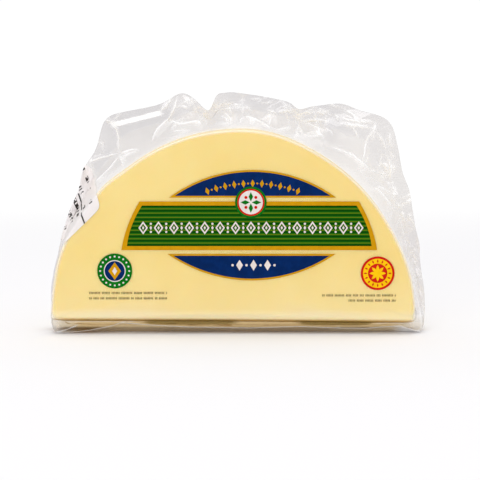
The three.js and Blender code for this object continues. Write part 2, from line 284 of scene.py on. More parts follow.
# Calm and busy places of the film: x, z, radius, and how much more coarse and fine crumpling
TEMPERS = ((-44.0, 91.0, 14.0, -0.8, -0.95), (50.0, 84.0, 10.0, -0.7, -0.95),
           (-60.0, 72.0, 9.0, -0.6, -0.8), (-21.0, 103.0, 8.0, -0.3, 0.3),
           (36.0, 97.0, 13.0, -0.3, 0.3), (68.0, 72.0, 9.0, 0, 0.4), (0.0, 97.0, 14.0, 0, 0.2),
           (76.0, 40.0, 22.0, -0.3, 0.2), (-46.0, 94.0, 16.0, -0.4, -0.6))
# Long creases, each a curved ridge towards the front: half width, height, half width of its sharp
# top, which is painted white as a highlight, and x, z along it
CREASES = (
    (3.0, 1.2, 0.6, (-61.0, 95.4), (-57.3, 94.3), (-55.0, 91.1), (-53.8, 86.1), (-53.4, 80.2)),
    (2.4, 0.9, 0.5, (-68.2, 75.8), (-62.2, 78.0), (-54.1, 79.9)),
    (2.2, 0.9, 0.5, (-53.2, 79.5), (-47.3, 81.5), (-41.8, 81.7)),
    (1.5, 0.6, 0.5, (-52.3, 78.1), (-47.3, 80.2), (-43.2, 81.3)),
    (2.6, 1.1, 0.6, (-53.2, 79.5), (-54.6, 76.5), (-57.6, 72.7), (-61.4, 68.8), (-65.0, 65.4)),
    (1.6, 0.7, 0.4, (-52.9, 79.1), (-50.6, 74.5)), (1.6, 0.6, 0.4, (-52.9, 79.1), (-48.7, 76.1)),
    (3.0, 1.2, 0.5, (-27.4, 105.6), (-28.7, 100.6), (-31.5, 95.4), (-36.1, 90.2), (-39.0, 83.8)),
    (1.8, 0.8, 0.4, (-35.5, 98.8), (-32.3, 101.5), (-30.0, 105.2)),
    (2.2, 0.9, 0.5, (-31.5, 95.4), (-26.4, 93.3), (-16.4, 94.3)),
    (2.2, 0.7, 0.9, (-30.0, 90.4), (-24.6, 90.6), (-18.2, 89.9)),
    (1.0, 0.2, 0.3, (-25.0, 106.1), (-23.2, 103.8), (-22.3, 100.6)),
    (1.0, 0.2, 0.3, (-23.2, 105.6), (-21.6, 103.3), (-20.9, 100.6)),
    (1.0, 0.2, 0.3, (-21.4, 104.3), (-20.0, 102.0), (-19.3, 99.7)),
    (1.6, 0.6, 0.4, (-35.5, 85.6), (-30.9, 87.0), (-25.5, 87.9), (-18.7, 89.9)),
    (2.2, 0.8, 0.5, (2.2, 96.1), (7.3, 95.2), (11.8, 93.3), (15.0, 91.5)),
    (1.6, 0.6, 0.9, (16.8, 90.8), (20.4, 91.5), (24.1, 91.8)),
    (1.3, 0.5, 0.4, (18.2, 98.3), (21.8, 99.3), (25.4, 98.6)),
    (1.5, 0.6, 0.4, (26.3, 97.0), (30.9, 98.8), (33.6, 97.9)),
    (1.5, 0.6, 0.4, (35.4, 99.3), (38.2, 97.9), (41.8, 99.7)),
    (1.5, 0.6, 0.4, (28.2, 94.3), (33.6, 95.2), (39.5, 94.5)),
    (1.4, 0.7, 0.5, (48.2, 95.6), (53.6, 94.5), (61.4, 94.0)),
    (1.4, 0.7, 0.5, (47.3, 92.9), (53.6, 92.4), (60.0, 91.5)),
    (2.6, 1.0, 0.5, (61.4, 90.6), (58.6, 87.0), (57.0, 82.4), (56.1, 77.0)),
    (2.8, 1.1, 0.8, (40.4, 82.9), (45.0, 81.5), (50.9, 79.2), (55.4, 75.8), (59.5, 72.7)),
    (1.8, 0.8, 0.5, (59.5, 72.7), (63.2, 71.5), (67.3, 70.2)),
    (1.6, 0.5, 0.3, (61.8, 90.2), (65.0, 86.5), (67.3, 81.5)),
    (1.6, 0.7, 0.4, (64.5, 75.6), (67.3, 74.2), (68.2, 70.6)),
    (1.6, 0.7, 0.4, (68.2, 77.0), (69.5, 72.4), (69.1, 67.9)),
    (2.0, 0.8, 0.5, (60.0, 65.2), (64.5, 61.1), (69.5, 55.4)),
    (1.8, 0.7, 0.4, (61.8, 65.2), (65.4, 64.2), (71.8, 60.6)),
    (1.4, 0.5, 0.4, (69.5, 55.4), (75.4, 56.1)),
    (2.0, 0.6, 0.4, (73.2, 52.4), (74.5, 44.2), (76.4, 35.1)),
    (2.0, 0.7, 0.5, (75.9, 36.1), (78.2, 24.7), (80.4, 13.3), (82.3, 1.5)),
    # the pad's folds
    (1.2, 0.3, 0.3, (-80.9, 0.6), (-75.8, 2.1), (-70.5, 4.4)),
    (1.0, 0.0, 0.4, (44.6, 2.4), (44.8, 4.3)),
    (1.0, 0.3, 0.4, (-52.2, 4.8), (-49.5, 6.2), (-46.4, 5.0)),
    (1.2, 0.3, 0.3, (57.1, 3.6), (60.2, 4.3), (66.0, 5.0), (73.1, 5.2)))
# The pad's front fold is lifted off the table: x, z along it, y in front and where it comes down
PAD_RIDGE = ((-84.0, 0.0), (-80.9, 0.3), (-74.0, 0.5), (-66.9, 1.2), (-56.6, 3.3), (-52.2, 4.8),
             (-39.2, 3.8), (-23.6, 2.9), (5.3, 2.4), (27.6, 3.1), (44.6, 2.4), (57.1, 2.3),
             (72.2, 3.4), (79.0, 1.2), (84.0, 0.0))
PAD_DOWN_Y = -3.0
# Steps, flat strips where the film slants back, painted white as a highlight: x, z of both ends, width,
# slope
STEPS = ((-56.8, 91.6, -34.0, 97.3, 2.3, 0.42),)
# Painted shade in the dark gaps between the cut's edge and the pad: x of both ends, z, half height
GAPS = ((-39.2, -3.6, 5.1, 0.7), (29.9, 57.5, 4.9, 0.8))
CREAM_Z, CREAM_HALF = 8.2, 1.1  # where the film bridges the slab's soft lower edge, with a painted highlight band
UNDER_STICKER = (146, 149, 175, 178)  # degrees round the pole where the sticker holds it flat
BESIDE_STICKER = (146, 150, 175, 178)  # and where it gets painted light over the sticker's shaded back


def mix(a, b, t):
    """The straight blend from a to b."""
    return a + (b - a) * t


def plateau(x, rise, top, fall, end):
    """Zero up to rise, one from top to fall, zero again from end, and smooth between."""
    return smooth(x, rise, top) * (1 - smooth(x, fall, end))


def border_width(angle):
    """The border's width beyond the rind: a side width that swells to the top with the sine of
    the angle and draws in at the foot, plus a bell for each ear and minus one for each dent."""
    side = np.where(np.cos(angle) > 0, BORDER_RIGHT, BORDER_LEFT)
    width = mix(side, BORDER_TOP, np.maximum(np.sin(angle), 0))
    width = width - FOOT_DRAWN_IN * smooth(-np.sin(angle), 0.15, 0.42)
    for at, height, spread in EARS:
        width = width + height * bell(np.degrees(angle), at, spread)
    return width


def rim_distance(angle):
    """From the pole to the border's edge, or to just below the table under the cut."""
    return soft_min(rind_distance(angle) + border_width(angle), level_distance(angle, -PAD_SINK),
                    PAD_ENDS)


def pad_share(angle):
    """Zero where the border stands free, one where it is folded into the pad."""
    low, high = (math.sin(math.radians(turn)) for turn in PAD_TURN)
    return smooth(-np.sin(angle), low, high)


def temper(x, z):
    """How much coarse and fine crumpling there is at each point: one, plus a bell for each calm or
    busy place."""
    coarse, fine = 1.0, 1.0
    for at_x, at_z, radius, more_coarse, more_fine in TEMPERS:
        near = np.exp(-((x - at_x) ** 2 + (z - at_z) ** 2) / radius ** 2)
        coarse, fine = coarse + more_coarse * near, fine + more_fine * near
    return np.maximum(coarse, 0.05), np.maximum(fine, 0.05)


def border_y(is_back):
    """The level of the border's front or back film."""
    return np.where(is_back, BORDER_Y + BORDER_THICKNESS, BORDER_Y)


def fold_height(angle, turn, distance, share):
    """Triangle waves round the pack, each leaning as it runs out across the border. They grow out
    from the slab, and are lower where the film is calm or the border narrow, and gone in the pad."""
    height = 0
    for count, size, lean, start in FOLDS:
        phase = count * turn + lean * share + start
        height = height + size * (4 * np.abs(phase - np.floor(phase) - 0.5) - 1)
    width = rim_distance(angle) - slab_distance(angle)
    grown = smooth(share, 0, TENT_SHARE) * np.minimum(width / FOLDED_WIDTH, 1) * (1 - pad_share(angle))
    return grown * height * temper(*around_pole(angle, distance))[0]


def section_part(*columns):
    """Rows of the section from its six columns, with single values repeated down them."""
    return np.array(np.broadcast_arrays(*columns), float)


def section_rows(edge, tent, border, back_border, back_tent):
    """The section from the front face to the back face. Each row has its side (-1 or 1), its reach
    over the face, its turn over the slab's edge, its share of the border, and, for the pad, its
    share of the pad's drop and its y (0 for rows that stay on the edge)."""
    turn = np.linspace(0, 1, edge)
    out = np.linspace(0, 1, tent + 1)[1:]
    on = np.append(np.linspace(0, RIM_FROM, border)[1:], 1)
    off = np.append(1, np.linspace(RIM_FROM, 0, back_border))
    back = np.linspace(1, 0, back_tent + 1)[1:-1]
    parts = [
        section_part(-1, [0.5, FLAT_TO], 0, 0, 0, 0),
        section_part(-1, 1, turn, 0, 0, 0),
        section_part(-1, 1, 1, TENT_SHARE * out, np.sin(np.pi / 2 * out),
                     mix(PAD_LEAVES_FACE - FACE_Y, PAD_FRONT_Y, out ** 2)),
        section_part(-1, 1, 1, mix(TENT_SHARE, 1, on), 1,
                     mix(PAD_FRONT_Y, PAD_BACK_Y, PAD_FOLDS_MEET * on)),
        section_part(1, 1, 1, mix(TENT_SHARE, 1, off), 1,
                     mix(PAD_BACK_Y, PAD_FRONT_Y, PAD_FOLDS_MEET * off)),
        section_part(1, 1, 1, TENT_SHARE * back, mix(PAD_BACK_SHARE, 1, back),
                     mix(FACE_Y - PAD_LEAVES_FACE, PAD_BACK_Y, back)),
        section_part(1, 1, turn[::-1], 0, PAD_BACK_SHARE, 0),
        section_part(1, [FLAT_TO, 0.5], 0, 0, PAD_BACK_SHARE, 0)]
    return np.concatenate(parts, 1)[:, :, None]


def smooth_film(angle, turn, rows):
    """The film before it crumples: each ray's section set between slab and rim, folded in y by the
    triangle waves, kept outside the bulging rind, and lifted to the table where it dips below."""
    side, reach, edge_turn, share, pad_out, pad_y = rows
    pad = pad_share(angle)
    slab_reach = slab_distance(angle)
    width = rim_distance(angle) - slab_reach
    quarter = edge_turn * np.pi / 2
    inset = edge_round(angle) * (1 - np.sin(quarter))
    distance = reach * (slab_reach + mix(share, pad_out, pad) * width - inset)
    foot = FACE_Y - edge_round(angle) * (1 - np.cos(quarter))
    y = mix(side * foot, border_y(side > 0), np.clip(share / TENT_SHARE, 0, 1))
    y = mix(y, np.where(pad_y == 0, y, pad_y), pad) + fold_height(angle, turn, distance, share)
    clear_of_rind = np.maximum(distance, slab_reach + rind_bulge(angle, y))
    distance = np.where((reach == 1) & (edge_turn == 1), clear_of_rind, distance)
    x, z = around_pole(angle, distance)
    return np.stack([x, y, np.maximum(z, 0)], -1)


def pad_ridge(x):
    """The height of the pad's front fold, straight from point to point."""
    return np.interp(x, *zip(*PAD_RIDGE))


def lifted(points):
    """Heights of the film with its folded foot raised to the front: at least the fold's height
    times how far the point is from where the foot comes down."""
    x, y, z = np.moveaxis(points, -1, 0)
    return np.maximum(z, pad_ridge(x) * np.clip((PAD_DOWN_Y - y) / (PAD_DOWN_Y - PAD_FRONT_Y), 0, 1))


def outside_rind(points):
    """Points that have sunk into the rind, moved straight out from the pole to its surface."""
    x, y, z = np.moveaxis(points, -1, 0)
    angle = np.arctan2(z - POLE_Z, x - WHEEL_X)
    distance = np.hypot(x - WHEEL_X, z - POLE_Z)
    surface = slab_distance(angle) + rind_bulge(angle, y)
    out = np.where(np.sin(angle) > -0.4, np.maximum(surface / distance, 1), 1)
    return np.stack([WHEEL_X + out * (x - WHEEL_X), y, POLE_Z + out * (z - POLE_Z)], -1)


def outward(points):
    """Unit normals of a grid that closes round, from the cross product of its differences."""
    along = np.roll(points, -1, 1) - np.roll(points, 1, 1)
    normal = np.cross(np.gradient(points, axis=0), along)
    return normal / np.maximum(np.linalg.norm(normal, axis=-1, keepdims=True), 1e-9)


def lattice_noise(u, v, size, seed):
    """Flat triangles on a triangle lattice: random heights at its corners, joined by the weights
    that a point has within its triangle."""
    # 997, 73 and 311 are primes, so that no two rows of corners have the same heights in step
    table = np.random.default_rng(seed).uniform(-1, 1, 997)
    b = v / size * 2 / math.sqrt(3)
    a = u / size - b / 2
    i, j = np.floor(a), np.floor(b)
    fa, fb = a - i, b - j

    def corner(di, dj):
        return table[((i + di) * 73 + (j + dj) * 311).astype(int) % 997]

    low = corner(0, 0) * (1 - fa - fb) + corner(1, 0) * fa + corner(0, 1) * fb
    high = corner(1, 1) * (fa + fb - 1) + corner(1, 0) * (1 - fb) + corner(0, 1) * (1 - fa)
    return np.where(fa + fb < 1, low, high)


def facets(u, v, size, seed):
    """Lattice noise read at places that two coarser lattice noises have shifted, so that the flat
    facets and straight creases lose their order but stay flat and straight."""
    shift_u = 0.7 * size * lattice_noise(u, v, 1.9 * size, seed + 1)
    shift_v = 0.7 * size * lattice_noise(u, v, 1.9 * size, seed + 2)
    return lattice_noise(u + shift_u, 0.7 * v + shift_v, size, seed)


def crumple(u, v, x, z, seed):
    """The sum of the facets of each size, swelling and fading with the film's temper."""
    coarse, fine = temper(x, z)
    total = 0
    for k, (size, height) in enumerate(FACETS):
        total = total + height * (coarse if k == 0 else fine) * facets(u, v, size, seed + 10 * k)
    return total


def crease_shape(x, z, creases):
    """The tallest crease at each point, and how near its sharp top is. The height falls by the
    square of the distance left to the crease's foot, and each crease is lower at its ends."""
    height, sharp = np.zeros_like(x), np.zeros_like(x)
    for wide, high, top, *points in creases:
        (low_x, low_z), (high_x, high_z) = np.min(points, 0) - wide, np.max(points, 0) + wide
        near = (x > low_x) & (x < high_x) & (z > low_z) & (z < high_z)
        near_x, near_z = x[near], z[near]
        off, along, done = np.full_like(near_x, 1e9), np.zeros_like(near_x), 0
        for (x0, z0), (x1, z1) in zip(points, points[1:]):
            run_x, run_z = x1 - x0, z1 - z0
            length = math.hypot(run_x, run_z)
            t = np.clip(((near_x - x0) * run_x + (near_z - z0) * run_z) / length ** 2, 0, 1)
            apart = np.hypot(near_x - x0 - t * run_x, near_z - z0 - t * run_z)
            along = np.where(apart < off, done + t * length, along)
            off = np.minimum(off, apart)
            done += length
        fade = mix(0.3, 1, plateau(along / done, 0, 0.25, 0.75, 1))
        height[near] = np.maximum(height[near], high * fade * np.clip(1 - off / wide, 0, 1) ** 2)
        sharp[near] = np.maximum(sharp[near], fade * bell(off, 0, top))
    return height, sharp


def short_creases(count, seed):
    """Creases of 3 to 11 mm at random places of the border, the more the busier the film is there.
    Half of them run along the rim, the others anyhow, and each bends a little midway. The higher
    ones are wider, and so are their sharp tops."""
    draw = np.random.default_rng(seed)
    creases = []
    while len(creases) < count:
        angle = math.radians(draw.uniform(-8, 142))
        near, far = slab_distance(angle), rim_distance(angle)
        x, z = around_pole(angle, mix(near, far, draw.uniform(0.1, 0.97)))
        heading = angle + math.pi / 2 + draw.choice([draw.normal(0, 0.25), draw.uniform(0, math.pi)])
        half, bend = draw.uniform(1.5, 5.5), draw.normal(0, 0.35)
        size = draw.uniform(0.15, 0.45)
        if draw.uniform(0, BUSIEST) < temper(x, z)[1]:
            start = (x - half * math.cos(heading - bend), z - half * math.sin(heading - bend))
            end = (x + half * math.cos(heading + bend), z + half * math.sin(heading + bend))
            creases.append((3 * size + 0.6, size, 0.9 * size + 0.25, start, (x, z), end))
    return creases


def steps_back(x, z):
    """How far back the film stands beyond each step: its slope times the distance from the
    step's line, up to the step's width, fading in and out towards the line's ends. Also, one on
    the slanting strips and zero off them."""
    back, strip = np.zeros_like(x), np.zeros_like(x)
    for x0, z0, x1, z1, wide, slope in STEPS:
        length = math.hypot(x1 - x0, z1 - z0)
        run_x, run_z = (x1 - x0) / length, (z1 - z0) / length
        along = ((x - x0) * run_x + (z - z0) * run_z) / length
        beyond = (z - z0) * run_x - (x - x0) * run_z
        back = back + slope * np.clip(beyond, 0, wide) * plateau(along, -0.12, 0, 1, 1.12)
        across = plateau(beyond, -0.1, 0.3, wide - 0.3, wide + 0.1)
        strip = strip + across * plateau(along, -0.03, 0.03, 0.9, 1.03)
    return back, strip


# The sticker's corner on the front, its corner on the back, and the degrees from level of the two
# edges that run from each corner to the rim
STICKER_FRONT = ((-60.5, 56.6), 110, 224)
STICKER_BACK = ((-60.5, 48.0), 110, 188)
STICKER_CORNERS = 45


def edge_distance(angle, corner, degrees):
    """From the pole along the ray to the straight line through a corner at that many degrees."""
    run_x, run_z = math.cos(math.radians(degrees)), math.sin(math.radians(degrees))
    across = run_z * np.cos(angle) - run_x * np.sin(angle)
    reach = run_z * (corner[0] - WHEEL_X) - run_x * (corner[1] - POLE_Z)
    return np.where(np.abs(across) > 1e-6, reach / np.where(across == 0, 1, across), 1e9)


def sticker_start(angle, corner, up, side):
    """From the pole to where the sticker begins: beyond both of its edges, with the corner between
    them rounded."""
    past_up = np.clip(edge_distance(angle, corner, up), 1, 200)
    past_side = np.clip(edge_distance(angle, corner, side), 1, 200)
    return 1 / soft_min(1 / past_up, 1 / past_side, STICKER_CORNERS)


FILM_COLUMNS = 860
SHORT_CREASES, SHORT_SEED = 110, 11
SEALED_SEED, BACK_SEED, FRONT_SEED, TINT_SEED, CLOUD_SEED, PATCH_SEED = 5, 105, 205, 305, 405, 505
film_angle, film_turn, film_round = spread_columns(FILM_COLUMNS, 0.5)
film_rows = section_rows(edge=8, tent=32, border=24, back_border=20, back_tent=18)
film_points = smooth_film(film_angle, film_turn, film_rows)
row_side, _, row_edge, share, row_pad, _ = film_rows
is_back = row_side > 0
pad = pad_share(film_angle)

film_x, film_z = film_points[..., 0], film_points[..., 2]
film_reach = np.hypot(film_x - WHEEL_X, film_z - POLE_Z)
film_u = film_turn * film_round + 0 * film_x
film_v = film_reach - slab_distance(film_angle)
slack = (row_edge == 1) * smooth(mix(share, row_pad * np.where(is_back, 0.7, 1), pad), 0.02, 0.3)
sealed = smooth(share, TENT_SHARE - SEAL_FADE, TENT_SHARE + SEAL_FADE) * (1 - pad)
degrees = np.degrees(film_angle)
sticker_from = np.where(is_back, sticker_start(film_angle, *STICKER_BACK),
                        sticker_start(film_angle, *STICKER_FRONT))
under_sticker = plateau(degrees, *UNDER_STICKER) * smooth(film_reach - sticker_from, -2, 0)
both = crumple(film_u, film_v, film_x, film_z, SEALED_SEED)
apart = np.where(is_back, crumple(film_u, film_v, film_x, film_z, BACK_SEED),
                 crumple(film_u, film_v, film_x, film_z, FRONT_SEED))
crease_top, ridge = crease_shape(film_x, film_z, CREASES)
short_top, short_ridge = crease_shape(film_x, film_z, short_creases(SHORT_CREASES, SHORT_SEED))
crease_top = np.maximum(crease_top, short_top)
free = slack * (1 - under_sticker)
puffed = (1 - sealed) * free * (apart * mix(1, PAD_CRUMPLE, pad) + crease_top * (1 - is_back))
step_back, step_highlight = steps_back(film_x, film_z)
bent = sealed * free * (both + crease_top - step_back)
film_points = film_points + outward(film_points) * puffed[..., None]
film_points[..., 1] -= bent
film_points[..., 2] = mix(np.maximum(film_points[..., 2], 0), lifted(film_points), pad)
film_points = np.where((row_edge == 1)[..., None], outside_rind(film_points), film_points)


def crease_strength(heights, points):
    """How sharply the film bends: its change of slope from one cell to the next, both ways. The
    0.05 mm added to each step keeps points that coincide from dividing by zero."""
    out_step = np.linalg.norm(np.diff(points, axis=0), axis=-1) + 0.05
    bend_out = np.zeros_like(heights)
    bend_out[1:-1] = np.diff(np.diff(heights, axis=0) / out_step, axis=0)
    round_step = np.linalg.norm(np.roll(points, -1, 1) - points, axis=-1) + 0.05
    slope_round = (np.roll(heights, -1, 1) - heights) / round_step
    return np.abs(bend_out) + np.abs(slope_round - np.roll(slope_round, 1, 1))


def gap_shade(x, z):
    """How much painted shade each point gets in a dark gap: a bell in height, fading at the gap's ends."""
    total = np.zeros_like(x)
    for x0, x1, middle, half in GAPS:
        ends = plateau(x, x0 - 6, x0 + 6, x1 - 6, x1 + 6)
        total = np.maximum(total, ends * bell(z, middle, half))
    return total


def clear_laminate():
    """Clear glossy film: nearly all light passes where it is tight, less where it has shrunk free
    and thicker, and least in the folded pad, whose warm and dark tints are painted shade. Some of
    the rest is veiled by haze, painted a cheese colour in the pad as the cheese's reflected light,
    and some reflected, more so at a slant. The haze is also painted white as highlights along creases
    and edges. The ramps give shares of red, green and blue light, so they aren't hex colours."""
    material, tree = new_material("clear_laminate_film")
    layers = add_node(tree, "Attribute", attribute_name="layers").outputs["Fac"]
    # from 0.75 up the tints turn warm and dark: painted shade of the shadowed pad and its gaps
    passed = add_node(tree, "ValToRGB", {"Fac": layers}, stops=(
        (0, (0.975, 0.97, 0.965, 1)), (0.25, (0.95, 0.935, 0.92, 1)), (0.5, (0.915, 0.9, 0.897, 1)),
        (0.6, (0.87, 0.858, 0.862, 1)), (0.75, (0.8, 0.7, 0.52, 1)), (1, (0.33, 0.26, 0.1, 1))))
    through = add_node(tree, "BsdfTransparent", {"Color": passed})
    # the haze turns a cheese colour in the pad: painted light reflected from the cheese
    veil = add_node(tree, "ValToRGB", {"Fac": layers},
                    stops=((0.6, (0.97, 0.965, 0.96, 1)), (0.75, (0.86, 0.71, 0.46, 0.3))))
    haze = add_node(tree, "BsdfDiffuse", {"Color": veil})
    # the crease attribute holds the film's haze and its painted highlights
    crease = add_node(tree, "Attribute", attribute_name="crease").outputs["Fac"]
    whitened = add_node(tree, "MapRange", {"Value": crease},
                        {"From Min": 0.1, "From Max": 1.0, "To Min": 0.03, "To Max": 0.75})
    veiled = add_node(tree, "MixShader", {"Fac": whitened, 1: through, 2: haze})
    gloss = add_node(tree, "BsdfGlossy", values={"Roughness": 0.07})
    slant = add_node(tree, "LayerWeight", values={"Blend": 0.5}).outputs["Facing"]
    steep = add_node(tree, "Math", {0: slant}, {1: 4.0}, operation="POWER")
    mirror = add_node(tree, "MapRange", {"Value": steep}, {"To Min": 0.05, "To Max": 0.3})
    dulled = add_node(tree, "Math", {0: mirror, 1: veil.outputs["Alpha"]}, operation="MULTIPLY")
    film = add_node(tree, "MixShader", {"Fac": dulled, 1: veiled, 2: gloss})
    add_node(tree, "OutputMaterial", {"Surface": film})
    return material


film = round_skin("bag_film", film_points, [[WHEEL_X, -FACE_Y, POLE_Z], [WHEEL_X, FACE_Y, POLE_Z]])
front = row_side < 0
film_y, film_z = film_points[..., 1], film_points[..., 2]
calm, fine = temper(film_x, film_z)
free_border, bare = 1 - pad, 1 - under_sticker

# where the film turns white: a painted reflection and a painted highlight line along the slab's
# edge, painted highlight patches over the rind, a painted highlight band (cream) bridging the cut's
# edge, painted highlights at the pad's fold, on the step's strip and along the creases, painted
# light over the sticker's shaded back beside the sticker, painted fill light on the pad's shaded
# underside (under), a white veil at the pad's corners, and the haze of the free film
painted_edge_reflection = 0.3 * plateau(film_v, -2.0, -1.1, 0.6, 1.4)
painted_edge_highlight = 0.4 * bell(film_v, -0.7, 0.4)
highlight_patches = smooth(facets(film_u, film_v, 11.0, PATCH_SEED), -0.1, 0.5) * smooth(np.sin(film_angle), 0, 0.6)
rind_highlight = 0.35 * plateau(film_v, 0.6, 1.4, 2.2, 3.4) * highlight_patches * bare * free_border
pad_corner = smooth(np.abs(film_x + 1.5), 74, 81) * (1 - smooth(film_z, 5, 13))
corner_veil = 0.45 * pad_corner * smooth(row_edge, 0, 0.5)
cream = 0.25 * bell(film_z, CREAM_Z, CREAM_HALF) * pad
fold_highlight = bell(film_z, pad_ridge(film_x), 0.3) * smooth(-film_y, 7, 9) * pad
under = smooth(share, 0.52, 0.56) * pad
to_right = smooth(film_x, 34, 52)
light_beside_sticker = 0.15 * plateau(degrees, *BESIDE_STICKER) * bare * slack
clouds = smooth(facets(film_u, film_v, 4.5, CLOUD_SEED), 0, 0.7) * free_border * slack
in_front = (cream + rind_highlight + light_beside_sticker + corner_veil + step_highlight * sealed
            + (0.5 * ridge + 0.3 * short_ridge * free_border) * slack
            + 0.7 * fold_highlight + mix(0.55, 0.9, to_right) * under)
haze_and_painted_highlights = (0.8 * crease_strength(puffed + bent, film_points) * mix(1, 0.2, pad) + front * in_front
             + (painted_edge_reflection + painted_edge_highlight + (0.03 + 0.12 * clouds) * fine * slack) * free_border)

# how many layers of it light passes: none where it is tight, most in the folded pad; there it adds
# painted shade in the dark gaps and on the underside, darker towards the fold, takes some away as
# painted light along the fold and ridges, and is lighter towards the pad's ends
narrow = smooth(np.cos(film_angle), 0.6, 0.95)
tight = mix(mix(0.54, 0.35, narrow), 0.75, pad)
layers = smooth(film_v + 1.2 * pad, 0.1, 1.2) * smooth(row_edge, 0, 0.4) * bare * tight
under_depth = np.clip(film_z / np.maximum(pad_ridge(film_x), 0.5), 0, 1)
layers = layers + pad * front * (
    0.7 * gap_shade(film_x, film_z) + 0.05 * under * under_depth * (1 - to_right)
    - 0.2 * fold_highlight - 0.12 * ridge - 0.15 * smooth(np.abs(film_x + 1), 68, 76))
layers = layers + slack * free_border * bare * (
    0.07 * (1 - calm) + 0.05 * facets(film_u, film_v, 8.0, TINT_SEED) + 0.05 * smooth(share, 0.95, 1))
layers = np.minimum(layers, mix(0.6, 1, pad))
for name, values in (("crease", haze_and_painted_highlights), ("layers", layers)):
    data = film.data.attributes.new(name, "FLOAT", "POINT").data
    data.foreach_set("value", np.concatenate([values.ravel(), [0, 0]]).astype(np.float32))
film.data.materials.append(clear_laminate())
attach(film, BODY)
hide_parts("bag")

# ---------------------------------------------------------------------------------------------
# The price sticker. Thermal paper with a pressure-sensitive glue, stuck over the bag's left border:
# a corner on the front face, round the rim, and the rest on the back.

STICKER_FROM, STICKER_TO = 148.6, 175.0  # degrees round the pole
STICKER_GAP, STICKER_PAPER = 0.14, 0.1
STICKER_LEAST = 0.3  # of it on either side of the rim
STICKER_ROWS, STICKER_COLUMNS = 40, 90


def film_section(angle, turn, distance, back):
    """A point of the smooth film at a distance from the pole: flat on the face, round at its edge,
    sloping over the tent, level on the border."""
    slab_reach = slab_distance(angle)
    share = np.clip((distance - slab_reach) / (rim_distance(angle) - slab_reach), 0, 1)
    edge = edge_round(angle)
    inset = np.clip(slab_reach - distance, 0, edge)
    rounded = FACE_Y - edge * (1 - np.sqrt(1 - (1 - inset / edge) ** 2))
    sign = np.where(back, 1, -1)
    sloping = mix(sign * (FACE_Y - edge), border_y(back), np.clip(share / TENT_SHARE, 0, 1))
    y = np.where(share > 0, sloping, sign * rounded) + fold_height(angle, turn, distance, share)
    distance = np.where(share > 0, np.maximum(distance, slab_reach + rind_bulge(angle, y)), distance)
    x, z = around_pole(angle, distance)
    return np.stack([x, y, z], -1)


sticker_angle = np.radians(np.linspace(STICKER_FROM, STICKER_TO, STICKER_COLUMNS))[None, :]
sticker_turn = np.interp(sticker_angle, film_angle, film_turn)
rim = rim_distance(sticker_angle)
steps = np.linspace(0, 1, STICKER_ROWS)[:, None]
front_start, back_start = (np.minimum(sticker_start(sticker_angle, *corner), rim - STICKER_LEAST)
                           for corner in (STICKER_FRONT, STICKER_BACK))
front_reach, back_reach = mix(front_start, rim, steps), mix(rim, back_start, steps)
sticker_reach = np.concatenate([front_reach, back_reach])
sticker_back = (np.arange(2 * STICKER_ROWS) >= STICKER_ROWS)[:, None]
sheet = film_section(sticker_angle, sticker_turn, sticker_reach, sticker_back)
sheet_normal = np.cross(np.gradient(sheet, axis=0), np.gradient(sheet, axis=1))
sheet_normal /= np.maximum(np.linalg.norm(sheet_normal, axis=-1, keepdims=True), 1e-9)

# unfolded at the rim, in millimetres along the sticker's two edges
unfolded = np.where(sticker_back, 2 * rim - sticker_reach, sticker_reach)
(corner_x, corner_z), up, side = STICKER_FRONT
unfolded_x, unfolded_z = around_pole(sticker_angle, unfolded)
from_corner_x, from_corner_z = unfolded_x - corner_x, unfolded_z - corner_z
up_x, side_x = np.cos(np.radians((up, side)))
up_z, side_z = np.sin(np.radians((up, side)))
sheared = up_x * side_z - up_z * side_x
paper_u = (from_corner_x * side_z - from_corner_z * side_x) / sheared
paper_v = (up_x * from_corner_z - up_z * from_corner_x) / sheared


def thin_sheet(name, points, normals, gap, thickness, u, v):
    """Two copies of an open grid, held apart along its normals and joined round the edge by quads,
    with a UV map from u and v."""
    rows, columns = points.shape[:2]
    top, bottom = points + normals * (gap + thickness), points + normals * gap
    index = np.arange(rows * columns).reshape(rows, columns)
    under = index + index.size
    upper = np.stack([index[:-1, :-1], index[1:, :-1], index[1:, 1:], index[:-1, 1:]], -1)
    lower = np.stack([under[:-1, :-1], under[:-1, 1:], under[1:, 1:], under[1:, :-1]], -1)
    loop = np.concatenate([index[0, :-1], index[:-1, -1], index[-1, :0:-1], index[:0:-1, 0]])
    following = np.roll(loop, -1)
    wall = np.stack([loop, following, following + index.size, loop + index.size], -1)
    faces = np.concatenate([upper.reshape(-1, 4), lower.reshape(-1, 4), wall])
    vertices = np.concatenate([top.reshape(-1, 3), bottom.reshape(-1, 3)])
    piece = make_piece(name, vertices, faces.tolist())
    layer = piece.data.uv_layers.new(name="paper")
    plain = np.full(u.size, -0.1)  # the glued side has no print
    flat = np.stack([np.tile(u.ravel(), 2), np.concatenate([v.ravel(), plain])], -1)[faces.ravel()]
    layer.data.foreach_set("uv", flat.astype(np.float32).ravel())
    return piece


PAPER_SPAN = 100.0  # millimetres that the UV map's unit stands for
PAPER_START = 20.0  # millimetres of the UV map before the sticker's corner
ROWS_FROM, ROW_HALF_PITCH, ROW_GAP_HALF = 1.6, 2.3, 1.45  # millimetres down the sticker
PRINT_MARGIN = 4.8  # millimetres of bare paper along its lower edge, which only the rule crosses
RULE_AT, RULE_HALF, RULE_HALF_DASH, RULE_BREAK = 8.7, 0.35, 4.2, 0.5
# Cells of words, bars and gaps in bars in millimetres, and the share of them that stays bare
MARK_CELLS = (((2.6, 4.6, 1.0), 0.16), ((0.55, 4.6, 1.0), 0.36), ((0.7, 0.6, 1.0), 0.24))


